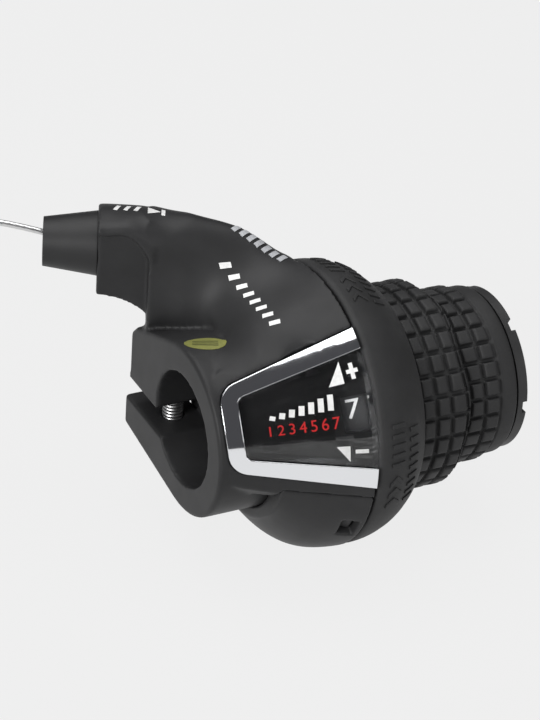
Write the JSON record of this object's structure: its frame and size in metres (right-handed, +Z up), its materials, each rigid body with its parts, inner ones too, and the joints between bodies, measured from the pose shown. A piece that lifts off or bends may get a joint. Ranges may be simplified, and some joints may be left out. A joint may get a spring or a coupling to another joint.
{
  "type": "twist grip shifter",
  "caption": "Right-hand indexed twist grip shifter with a split bar clamp, gear display, cable arm and block-tread rubber grip that turns to wind the shift wire.",
  "frame": {"origin": "on the handlebar axis at the clamp's inboard face", "axes": "+X outboard along the handlebar, +Y forward away from the rider, +Z up"},
  "size_m": [0.137, 0.081, 0.0615],
  "materials": {
    "housing_plastic": "satin charcoal",
    "outlet_plastic": "satin black",
    "grip_rubber": "matte",
    "bezel_chrome": "polished",
    "lens_clear": "clear",
    "plate_print": "printed black",
    "inner_plastic": "moulded",
    "steel": "plain",
    "tie_plastic": "black"
  },
  "bodies": {
    "housing": {"housing": "housing_plastic", "lower_cover": "housing_plastic", "display_bezel": "bezel_chrome", "display_lens": "lens_clear", "display_plate": "plate_print", "cable_outlet": "outlet_plastic", "clamp_bolt": "steel", "clamp_nut": "steel", "bar_tube": "inner_plastic", "end_ring": "inner_plastic", "thrust_washer": "inner_plastic", "detent_spring": "steel", "cable_lead": "steel", "shift_cable": "steel", "cable_coil": "steel", "cable_tie": "tie_plastic"},
    "grip": {"grip_sleeve": "inner_plastic", "grip_cover": "grip_rubber", "take_up_drum": "inner_plastic", "indicator_ring": "inner_plastic", "cable_nipple": "steel", "cable_wrap": "steel"}
  },
  "joints": [
    {"name": "grip_twist", "type": "hinge", "parent": "housing", "child": "grip", "pos_m": [0, 0, 0], "axis": [1, 0, 0], "range_deg": [0, 84], "deforming": ["detent_spring"]}
  ]
}
